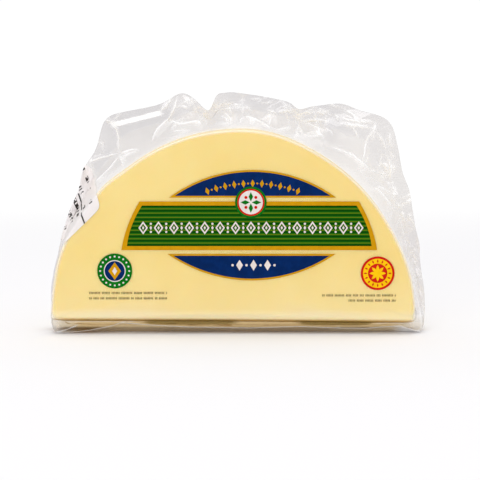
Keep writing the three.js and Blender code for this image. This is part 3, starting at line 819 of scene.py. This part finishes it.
def thermal_paper():
    """Coated white paper that lets some light through, with rows of small plain marks and a
    broken rule, burnt in dark grey. The rows run along the sticker's right edge, 4.6 mm apart, up
    to its bare margin. A mark stays where random draws keep its word, its bar and its place in it."""
    material, tree = new_material("thermal_label_paper")
    uv = add_node(tree, "UVMap", uv_map="paper")
    in_mm = add_node(tree, "Mapping", {"Vector": uv},
                     {"Location": (0, -ROWS_FROM, 0), "Scale": (PAPER_SPAN, PAPER_SPAN, 1)})
    axes = add_node(tree, "SeparateXYZ", {"Vector": in_mm})
    along, down = axes.outputs["X"], axes.outputs["Y"]
    from_gap = add_node(tree, "Math", {0: down}, {1: ROW_HALF_PITCH}, operation="PINGPONG")
    marks = add_node(tree, "Math", {0: from_gap}, {1: ROW_GAP_HALF}, operation="GREATER_THAN")
    for cell_size, left_out in MARK_CELLS:
        cell = add_node(tree, "VectorMath", {0: in_mm}, {1: cell_size}, operation="SNAP")
        drawn = add_node(tree, "TexWhiteNoise", {"Vector": cell}, noise_dimensions="2D")
        kept = add_node(tree, "Math", {0: drawn.outputs["Value"]}, {1: left_out}, operation="GREATER_THAN")
        marks = add_node(tree, "Math", {0: marks, 1: kept}, operation="MULTIPLY")
    off_margin = add_node(tree, "Math", {0: along}, {1: PAPER_START + PRINT_MARGIN},
                          operation="GREATER_THAN")
    marks = add_node(tree, "Math", {0: marks, 1: off_margin}, operation="MULTIPLY")
    on_line = add_node(tree, "Math", {0: down}, {1: RULE_AT, 2: RULE_HALF}, operation="COMPARE")
    stroke = add_node(tree, "Math", {0: along}, {1: RULE_HALF_DASH}, operation="PINGPONG")
    unbroken = add_node(tree, "Math", {0: stroke}, {1: RULE_BREAK}, operation="GREATER_THAN")
    rule = add_node(tree, "Math", {0: on_line, 1: unbroken}, operation="MULTIPLY")
    burnt = add_node(tree, "Math", {0: marks, 1: rule}, operation="MAXIMUM")
    printed_side = add_node(tree, "Math", {0: down}, {1: 0.0}, operation="GREATER_THAN")
    ink = add_node(tree, "Math", {0: burnt, 1: printed_side}, operation="MULTIPLY")
    place = add_node(tree, "TexCoord").outputs["Object"]
    fibres = add_node(tree, "TexNoise", {"Vector": place}, {"Scale": 260, "Detail": 4})
    paper = add_node(tree, "Mix", {0: fibres}, {6: hex_colour("FAF6F6"), 7: hex_colour("FFFCFC")},
                     data_type="RGBA").outputs[2]
    colour = add_node(tree, "Mix", {0: ink, 6: paper}, {7: hex_colour("3A3532")},
                      data_type="RGBA").outputs[2]
    surface = add_node(tree, "BsdfPrincipled", {"Base Color": colour},
                       {"Roughness": 0.5, "Specular IOR Level": 0.3})
    glow = add_node(tree, "BsdfTranslucent", {"Color": colour})
    both = add_node(tree, "MixShader", {1: surface, 2: glow}, {"Fac": 0.35})
    add_node(tree, "OutputMaterial", {"Surface": both})
    return material


sticker = thin_sheet("price_sticker_paper", sheet, sheet_normal, STICKER_GAP, STICKER_PAPER,
                     (paper_u + PAPER_START) / PAPER_SPAN, paper_v / PAPER_SPAN)
sticker.data.materials.append(thermal_paper())
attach(sticker, BODY)
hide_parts("price_sticker")

# ---------------------------------------------------------------------------------------------
# The printing. Flexographic inks on the front film: fields of green and blue with gold lines round
# them. The solids are the inks' right shape, so they stay and only get their finish.

STRIPES_FROM = 57.3
STRIPE_PITCH = 1.9
SATIN = {"Roughness": 0.25, "Specular IOR Level": 0.1}


def flexo_ink(name, light, dark):
    """Ink on film: a flat, satin colour with the faint mottle of a printing roll, 3 mm across."""
    material, tree = new_material(name)
    place = add_node(tree, "TexCoord").outputs["Object"]
    mottle = add_node(tree, "TexNoise", {"Vector": place}, {"Scale": 330, "Detail": 3})
    tint = add_node(tree, "ValToRGB", {"Fac": mottle},
                    stops=((0.35, hex_colour(dark)), (0.65, hex_colour(light))))
    shader = add_node(tree, "BsdfPrincipled", {"Base Color": tint}, SATIN)
    add_node(tree, "OutputMaterial", {"Surface": shader})
    return material


def striped_green():
    """Green flexo ink in level stripes, 1.9 mm apart: dark, mid green, and a thin gold line."""
    material, tree = new_material("flexo_ink_striped_green")
    place = add_node(tree, "TexCoord").outputs["Object"]
    height = add_node(tree, "SeparateXYZ", {"Vector": place}).outputs["Z"]
    from_top = add_node(tree, "MapRange", {"Value": height}, {
        "From Min": STRIPES_FROM / 1000, "From Max": (STRIPES_FROM - STRIPE_PITCH) / 1000}, clamp=False)
    phase = add_node(tree, "Math", {0: from_top}, operation="FRACT")
    dark, mid, gold = hex_colour("083F01"), hex_colour("1A6405"), hex_colour("6E6E0A")
    stripes = add_node(tree, "ValToRGB", {"Fac": phase}, stops=(
        (0, dark), (0.34, dark), (0.42, mid), (0.62, mid), (0.67, gold), (0.75, gold), (0.8, mid),
        (0.92, mid), (1, dark)))
    shader = add_node(tree, "BsdfPrincipled", {"Base Color": stripes}, SATIN)
    add_node(tree, "OutputMaterial", {"Surface": shader})
    return material


def dress(node, material):
    """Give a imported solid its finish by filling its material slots."""
    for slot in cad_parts[node].material_slots:
        slot.material = material


gold_ink = flexo_ink("flexo_ink_gold", "C68F00", "BC8600")
blue_ink = flexo_ink("flexo_ink_blue", "00255D", "002052")
white_ink = flexo_ink("flexo_ink_white", "DDD5D1", "D4CBC7")
red_ink = flexo_ink("flexo_ink_red", "C81A10", "BC140A")
leaf_ink = flexo_ink("flexo_ink_leaf_green", "0A6E16", "076210")
dress("print_band", striped_green())
for node, ink in (("print_band_edge", gold_ink), ("print_upper_edge", gold_ink),
                  ("print_lower_edge", gold_ink), ("print_upper", blue_ink), ("print_lower", blue_ink),
                  ("seal_left", leaf_ink), ("seal_right", red_ink), ("seal_middle", leaf_ink)):
    dress(node, ink)

# ---------------------------------------------------------------------------------------------
# The ornaments. Small plain figures overprinted on the fields: lozenges, dots, rings and strokes,
# each layer of ink a few hundredths of a millimetre over the one before.

INK_PROUD = 0.15  # how far a solid of ink stands off the one under it
INK_FRONT = FACE_Y + INK_PROUD
LAYER = 0.05


def turned(outline, turn):
    """An outline turned about the origin."""
    return outline @ np.array([[math.cos(turn), math.sin(turn)], [-math.sin(turn), math.cos(turn)]])


def lozenge(x, z, half_width, half_height, turn=0.0):
    """Four corners of a diamond, turned about its middle."""
    corners = np.array([[half_width, 0], [0, half_height], [-half_width, 0], [0, -half_height]])
    return turned(corners, turn) + [x, z]


def round_dot(x, z, radius, sides=16):
    """A circle's points, anticlockwise."""
    angle = np.arange(sides) / sides * 2 * np.pi
    return np.stack([x + radius * np.cos(angle), z + radius * np.sin(angle)], -1)


def petal(x, z, length, width, turn, sides=9):
    """A leaf from its foot: two sine arches that meet in points at both ends."""
    t = np.linspace(0, 1, sides)
    arch = width / 2 * np.sin(np.pi * t)
    outline = np.concatenate([np.stack([length * t, -arch], -1),
                              np.stack([length * t, arch], -1)[-2:0:-1]])
    return turned(outline, turn) + [x, z]


def dash(x0, x1, z, height):
    """A level bar from x0 to x1, centred on z."""
    half = height / 2
    return np.array([[x0, z - half], [x1, z - half], [x1, z + half], [x0, z + half]])


def places_round(centre, radius, degrees):
    """x, z and the angle in radians of places round a centre, at those degrees."""
    return [(centre[0] + radius * math.cos(t), centre[1] + radius * math.sin(t), t)
            for t in np.radians(degrees)]


def ink_piece(name, vertices, faces, ink):
    """One flat-shaded piece of ink that rides on the pack."""
    piece = make_piece(name, np.concatenate(vertices), faces)
    piece.data.shade_flat()
    piece.data.materials.append(ink)
    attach(piece, BODY)


def ink_figures(name, outlines, base, ink):
    """Thin plates from anticlockwise outlines in x and z: a front face, a back face and a wall of
    quads between them. The front is one layer of ink over base."""
    vertices, faces, start = [], [], 0
    for outline in outlines:
        count = len(outline)
        ring, following = np.arange(count), np.roll(np.arange(count), -1)
        vertices += [np.insert(outline, 1, y, axis=1) for y in (-base - LAYER, -base + LAYER)]
        faces += [(start + ring).tolist(), (start + count + ring[::-1]).tolist()]
        wall = np.stack([ring, ring + count, following + count, following], -1) + start
        faces += wall.tolist()
        start += 2 * count
    ink_piece(name, vertices, faces, ink)


def ink_frames(name, pairs, base, ink):
    """Thin open figures: a small rectangle of ink carried round between an outer outline and an
    inner one with as many points."""
    vertices, faces, start = [], [], 0
    for outer, inner in pairs:
        vertices += [np.insert(outline, 1, y, axis=1) for outline, y in (
            (inner, -base - LAYER), (outer, -base - LAYER),
            (outer, -base + LAYER), (inner, -base + LAYER))]
        index = np.arange(4 * len(outer)).reshape(4, -1) + start
        far = np.roll(index, -1, 0)
        quads = np.stack([index, far, np.roll(far, -1, 1), np.roll(index, -1, 1)], -1)
        faces += quads.reshape(-1, 4).tolist()
        start += 4 * len(outer)
    ink_piece(name, vertices, faces, ink)


# the band's row: open lozenges with a small one inside, and two dots and a small lozenge between
ROW_Z, ROW_LEFT, ROW_RIGHT, ROW_COUNT = 47.5, -42.0, 53.5, 15
row_x = np.linspace(ROW_LEFT, ROW_RIGHT, ROW_COUNT)
row_gap = row_x[1] - row_x[0]
row_frames = [(lozenge(x, ROW_Z, 2.1, 2.9), lozenge(x, ROW_Z, 1.35, 1.9)) for x in row_x]
ink_frames("print_band_frames", row_frames, INK_FRONT, white_ink)
row_figures = [lozenge(x, ROW_Z, 0.55, 0.8) for x in row_x]
for x in row_x[:-1] + row_gap / 2:
    row_figures += [round_dot(x, ROW_Z - 1.8, 0.5), lozenge(x, ROW_Z, 0.6, 0.9),
                    round_dot(x, ROW_Z + 1.8, 0.5)]
ink_figures("print_band_row", row_figures, INK_FRONT, white_ink)

# the upper field's arc, and the lower field's row
ARC_CENTRE, ARC_RADIUS, ARC_HALF, ARC_COUNT = (6.5, 7.2), 60.0, 19.5, 11
arc_degrees = np.linspace(90 + ARC_HALF, 90 - ARC_HALF, ARC_COUNT)
arc_figures = [lozenge(x, z, 0.95, 1.75, t - math.pi / 2)
               for x, z, t in places_round(ARC_CENTRE, ARC_RADIUS, arc_degrees)]
arc_figures += [round_dot(x, z, 0.42) for x, z, _ in
                places_round(ARC_CENTRE, ARC_RADIUS, (arc_degrees[1:] + arc_degrees[:-1]) / 2)]
ink_figures("print_upper_arc", arc_figures, INK_FRONT, gold_ink)
LOWER_X, LOWER_Z, LOWER_PITCH = 6.9, 30.9, 6.2
lower_figures = [lozenge(LOWER_X + LOWER_PITCH * k, LOWER_Z, 1.5, 2.4) for k in (-1, 0, 1)]
lower_figures += [round_dot(LOWER_X + LOWER_PITCH / 2 * k, LOWER_Z, 0.55) for k in (-3, -1, 1, 3)]
ink_figures("print_lower_row", lower_figures, INK_FRONT, white_ink)

# the middle seal: a green rim, a red line, and a pale field with a cross of lozenges and four dots
MIDDLE = (5.7, 58.8)
MIDDLE_FIELD, MIDDLE_LINE = 6.0, 5.3  # radii
middle_front = INK_FRONT + INK_PROUD
middle_field = [round_dot(*MIDDLE, MIDDLE_FIELD, 48)]
ink_figures("seal_middle_field", middle_field, middle_front, white_ink)
middle_line = [(round_dot(*MIDDLE, MIDDLE_FIELD, 72), round_dot(*MIDDLE, MIDDLE_LINE, 72))]
ink_frames("seal_middle_line", middle_line, middle_front + LAYER, red_ink)
cross = [lozenge(x, z, 2.1, 1.0, t) for x, z, t in places_round(MIDDLE, 2.5, (0, 90, 180, 270))]
ink_figures("seal_middle_cross", cross, middle_front + LAYER, leaf_ink)
four_dots = [round_dot(x, z, 0.7) for x, z, _ in places_round(MIDDLE, 3.1, (45, 135, 225, 315))]
ink_figures("seal_middle_dots", four_dots, middle_front + LAYER, red_ink)

# the left seal: dots round the rim, and a gold lozenge with a pale one inside, on a blue field with
# a pale line round it
LEFT = (-54.7, 28.3)
rim_dots = [round_dot(x, z, 0.42, 10) for x, z, _ in places_round(LEFT, 6.45, np.arange(0, 360, 18))]
for name, figures, layers_under, ink, slot in (
        ("seal_left_dots", rim_dots, 0, white_ink, "ink_pale"),
        ("seal_left_field", [round_dot(*LEFT, 4.85, 48)], 0, white_ink, "ink_pale"),
        ("seal_left_ground", [round_dot(*LEFT, 4.45, 48)], 1, blue_ink, "ink_blue"),
        ("seal_left_lozenge", [lozenge(*LEFT, 2.8, 3.9)], 2, gold_ink, "ink_gold"),
        ("seal_left_middle", [lozenge(*LEFT, 1.1, 1.8)], 3, white_ink, "ink_pale")):
    ink_figures(name, figures, INK_FRONT + layers_under * LAYER, ink)

# the right seal: a yellow ring with small lozenges round a red field with an eight-petalled flower
RIGHT = (62.0, 27.3)
RIGHT_RING, RIGHT_FIELD = 6.5, 4.3  # radii
PETAL, PETAL_WIDTH = 3.7, 1.35
yellow_ink = flexo_ink("flexo_ink_yellow", "F0C002", "E8B600")
right_ring = [(round_dot(*RIGHT, RIGHT_RING, 72), round_dot(*RIGHT, RIGHT_FIELD, 72))]
ink_frames("seal_right_ring", right_ring, INK_FRONT, yellow_ink)
ring_lozenges = [lozenge(x, z, 0.85, 0.4, t)
                 for x, z, t in places_round(RIGHT, 5.4, np.arange(0, 360, 22.5))]
ink_figures("seal_right_lozenges", ring_lozenges, INK_FRONT + LAYER, red_ink)
for name, turns, layers_under in (("seal_right_lower_petals", (45, 135, 225, 315), 0),
                                  ("seal_right_upper_petals", (0, 90, 180, 270), 1)):
    petals = [petal(*RIGHT, PETAL, PETAL_WIDTH, math.radians(turn)) for turn in turns]
    ink_figures(name, petals, INK_FRONT + layers_under * LAYER, yellow_ink)

# small print, as plain upright strokes in groups of random length: left end, right end and level of
# each row
STROKE_ROWS = ((-66.0, -31.5, 18.5), (-66.0, -31.5, 16.1), (37.5, 70.0, 17.4), (49.2, 70.0, 15.1))
STROKE, STROKE_HEIGHT, STROKE_PITCH = 0.3, 0.95, 0.62
dash_ink = flexo_ink("flexo_ink_olive_grey", "7A6C40", "6E6138")
draw = np.random.default_rng(7)
dash_figures = []
for left, right, level in STROKE_ROWS:
    x = left
    while x < right:
        strokes = draw.integers(2, 9)
        for _ in range(min(strokes, int((right - x) / STROKE_PITCH) + 1)):
            dash_figures.append(dash(x, x + STROKE, level, STROKE_HEIGHT))
            x += STROKE_PITCH
        x += STROKE_PITCH
ink_figures("print_small_strokes", dash_figures, FACE_Y, dash_ink)

# ---------------------------------------------------------------------------------------------
# The table and the light: a sweep of white card under broad soft light, and soft boxes that show as
# highlights on the film.

FLOOR_HALF, FLOOR_Z = 3.0, -0.0001  # metres
SWEEP_FROM, SWEEP_TO = 0.3, 1.2  # metres from the pack where the card goes over into the glow
ROOM_STRENGTH = 1.03


def white_card():
    """Matt white card. From 0.3 m off the pack it goes over into an even glow as bright as the
    room, as a sweep does that has lights of its own, so that no horizon shows through the film."""
    material, tree = new_material("matt_white_card")
    place = add_node(tree, "TexCoord").outputs["Object"]
    distance = add_node(tree, "VectorMath", {0: place}, operation="LENGTH").outputs["Value"]
    far = add_node(tree, "MapRange", {"Value": distance}, {"From Min": SWEEP_FROM, "From Max": SWEEP_TO},
                   interpolation_type="SMOOTHSTEP")
    card = add_node(tree, "BsdfDiffuse", values={"Color": (0.92, 0.912, 0.928, 1)})
    lit = add_node(tree, "Emission", values={"Strength": ROOM_STRENGTH})
    both = add_node(tree, "MixShader", {"Fac": far, 1: card, 2: lit})
    add_node(tree, "OutputMaterial", {"Surface": both})
    return material


floor_corners = [(-FLOOR_HALF, -FLOOR_HALF, FLOOR_Z), (FLOOR_HALF, -FLOOR_HALF, FLOOR_Z),
                 (FLOOR_HALF, FLOOR_HALF, FLOOR_Z), (-FLOOR_HALF, FLOOR_HALF, FLOOR_Z)]
floor_mesh = bpy.data.meshes.new("table_top")
floor_mesh.from_pydata(floor_corners, [], [(0, 1, 2, 3)])
floor_mesh.materials.append(white_card())
floor = bpy.data.objects.new("table_top", floor_mesh)
bpy.context.scene.collection.objects.link(floor)
floor.visible_glossy = False  # gloss sees the dark room in front instead, as under a polariser

# Soft boxes that only gloss sees: direction, cosine to their edge, strength
SOFT_BOXES = (((-0.24, -0.69, 0.68), 0.975, 2.4), ((0.15, -0.75, 0.65), 0.985, 2.0),
              ((0.85, -0.40, 0.33), 0.97, 2.0), ((0.15, 0.30, 0.94), 0.95, 1.5),
              ((-0.92, -0.1, 0.38), 0.97, 2.0))
BOX_FADE_OUT, BOX_FADE_IN = 0.03, 0.015  # of that cosine, outwards and inwards of the edge
STUDIO_STRENGTH = 0.76


def studio_world():
    """White all round for the eye and for matt surfaces. Gloss sees a white cove behind the pack,
    a dark room in front of it, and the soft boxes."""
    world = bpy.data.worlds.new("white_studio")
    world.use_nodes = True
    tree = world.node_tree
    tree.nodes.clear()
    direction = add_node(tree, "TexCoord").outputs["Generated"]
    depth = add_node(tree, "SeparateXYZ", {"Vector": direction}).outputs["Y"]
    glow = add_node(tree, "MapRange", {"Value": depth},
                    {"From Min": -0.6, "From Max": 0.1, "To Min": 0.08, "To Max": 1.0},
                    interpolation_type="SMOOTHSTEP")
    for toward, edge, strength in SOFT_BOXES:
        facing = add_node(tree, "VectorMath", {0: direction}, {1: Vector(toward).normalized()},
                          operation="DOT_PRODUCT").outputs["Value"]
        box = add_node(tree, "MapRange", {"Value": facing}, {
            "From Min": edge - BOX_FADE_OUT, "From Max": edge + BOX_FADE_IN, "To Max": strength},
                       interpolation_type="SMOOTHSTEP")
        glow = add_node(tree, "Math", {0: glow, 1: box}, operation="ADD")
    white = {"Color": (1, 1, 1, 1)}
    for_gloss = add_node(tree, "Background", {"Strength": glow}, white)
    for_matt = add_node(tree, "Background", values={**white, "Strength": STUDIO_STRENGTH})
    for_eye = add_node(tree, "Background", values={**white, "Strength": ROOM_STRENGTH})
    path = add_node(tree, "LightPath").outputs
    light = add_node(tree, "MixShader", {"Fac": path["Is Glossy Ray"], 1: for_matt, 2: for_gloss})
    seen = add_node(tree, "MixShader", {"Fac": path["Is Camera Ray"], 1: light, 2: for_eye})
    add_node(tree, "OutputWorld", {"Surface": seen})
    bpy.context.scene.world = world


studio_world()


def soft_light(name, place, target, size, power):
    """A square area light aimed at a point."""
    data = bpy.data.lights.new(name, "AREA")
    data.size, data.energy = size, power
    light = bpy.data.objects.new(name, data)
    light.location = place
    light.rotation_euler = (Vector(target) - light.location).to_track_quat("-Z", "Y").to_euler()
    light.visible_glossy = False  # the soft boxes of the world stand for it in gloss
    bpy.context.scene.collection.objects.link(light)


soft_light("front_light", (-0.5, -2.4, 0.3), (0, 0, 0.04), 1.2, 25.5)
soft_light("top_light", (0.0, 0.0, 2.2), (0, 0, 0), 1.2, 14.0)

# ---------------------------------------------------------------------------------------------
# The camera looks straight at the printed face from a little above.

SIGHT = Vector((0.9, -FACE_Y, 42.1)) / 1000  # the point in the middle of the picture
STAND_OFF = 0.737  # metres
ELEVATION = math.radians(4.5)
FRAME_PIXELS = 480
MM_PER_PIXEL = 0.4432  # at the printed face
SENSOR_WIDTH = 36.0

camera_data = bpy.data.cameras.new("camera")
camera_data.sensor_width = SENSOR_WIDTH
camera_data.lens = SENSOR_WIDTH * STAND_OFF * 1000 / (MM_PER_PIXEL * FRAME_PIXELS)
camera = bpy.data.objects.new("camera", camera_data)
camera.location = SIGHT + STAND_OFF * Vector((0, -math.cos(ELEVATION), math.sin(ELEVATION)))
camera.rotation_euler = (SIGHT - camera.location).to_track_quat("-Z", "Y").to_euler()
bpy.context.scene.collection.objects.link(camera)
bpy.context.scene.camera = camera
bpy.context.scene.view_settings.view_transform = "Standard"
